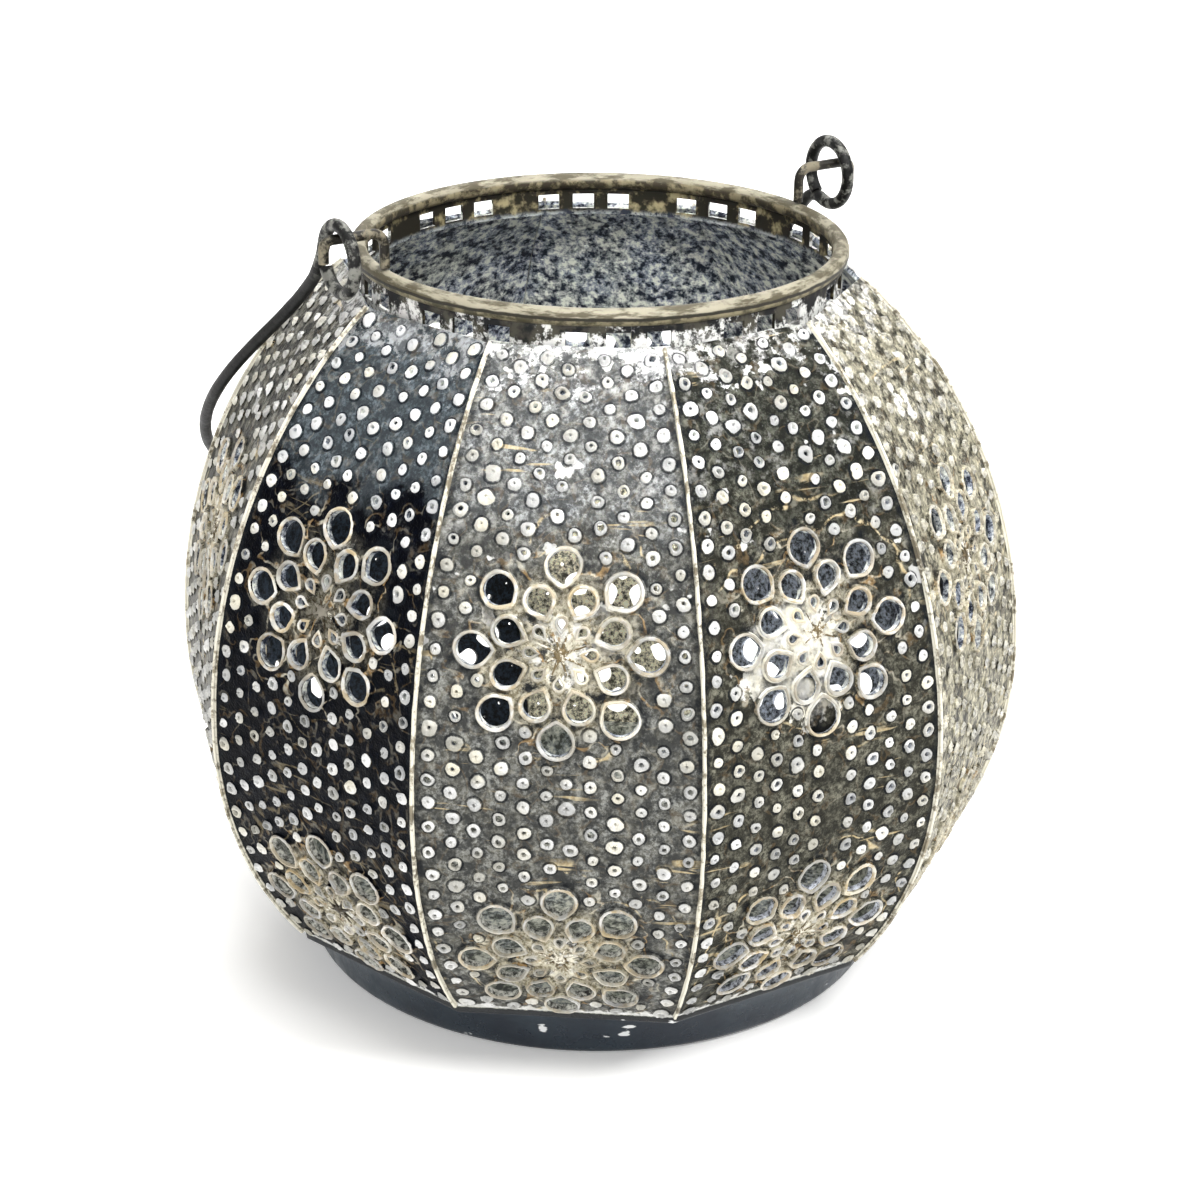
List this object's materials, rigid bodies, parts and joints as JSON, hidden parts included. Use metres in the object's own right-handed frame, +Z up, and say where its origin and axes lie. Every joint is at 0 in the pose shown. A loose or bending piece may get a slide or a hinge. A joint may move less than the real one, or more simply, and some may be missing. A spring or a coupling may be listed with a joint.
{
  "type": "pierced iron lantern",
  "caption": "Round pierced sheet-iron candle lantern with flat gores, an open mouth, a shallow base pan and a swinging wire bail handle.",
  "frame": {"origin": "centre of the base pan's flat underside, on the surface the lantern stands on", "axes": "+Z up through the mouth, X along the bail's hinge through both ears, +Y towards the side on which the bail lies at rest"},
  "size_m": [0.2036, 0.2029, 0.188],
  "materials": {
    "gore_iron": "blackened sheet iron with a worn white wash on the punched burrs",
    "seam_wire": "wire with a worn cream wash",
    "base_iron": "glossy blue-black enamel with small nicks",
    "collar_iron": "blackened sheet iron",
    "rim_wire": "wire with cream wash over olive-brown iron",
    "handle_wire": "blackened iron wire with traces of cream wash"
  },
  "bodies": {
    "lantern_body": {"panel_01": "gore_iron", "panel_02": "gore_iron", "panel_03": "gore_iron", "panel_04": "gore_iron", "panel_05": "gore_iron", "panel_06": "gore_iron", "panel_07": "gore_iron", "panel_08": "gore_iron", "panel_09": "gore_iron", "panel_10": "gore_iron", "seam_wire_01": "seam_wire", "seam_wire_02": "seam_wire", "seam_wire_03": "seam_wire", "seam_wire_04": "seam_wire", "seam_wire_05": "seam_wire", "seam_wire_06": "seam_wire", "seam_wire_07": "seam_wire", "seam_wire_08": "seam_wire", "seam_wire_09": "seam_wire", "seam_wire_10": "seam_wire", "base_pan": "base_iron", "neck_band": "collar_iron", "rim_ring": "rim_wire", "ear_left": "handle_wire", "ear_right": "handle_wire"},
    "bail": {"bail_handle": "handle_wire"}
  },
  "joints": [
    {"name": "bail_swing", "type": "hinge", "parent": "lantern_body", "child": "bail", "pos_m": [0, 0, 0.18204], "axis": [1, 0, 0], "range_deg": [0, 266.9]}
  ]
}
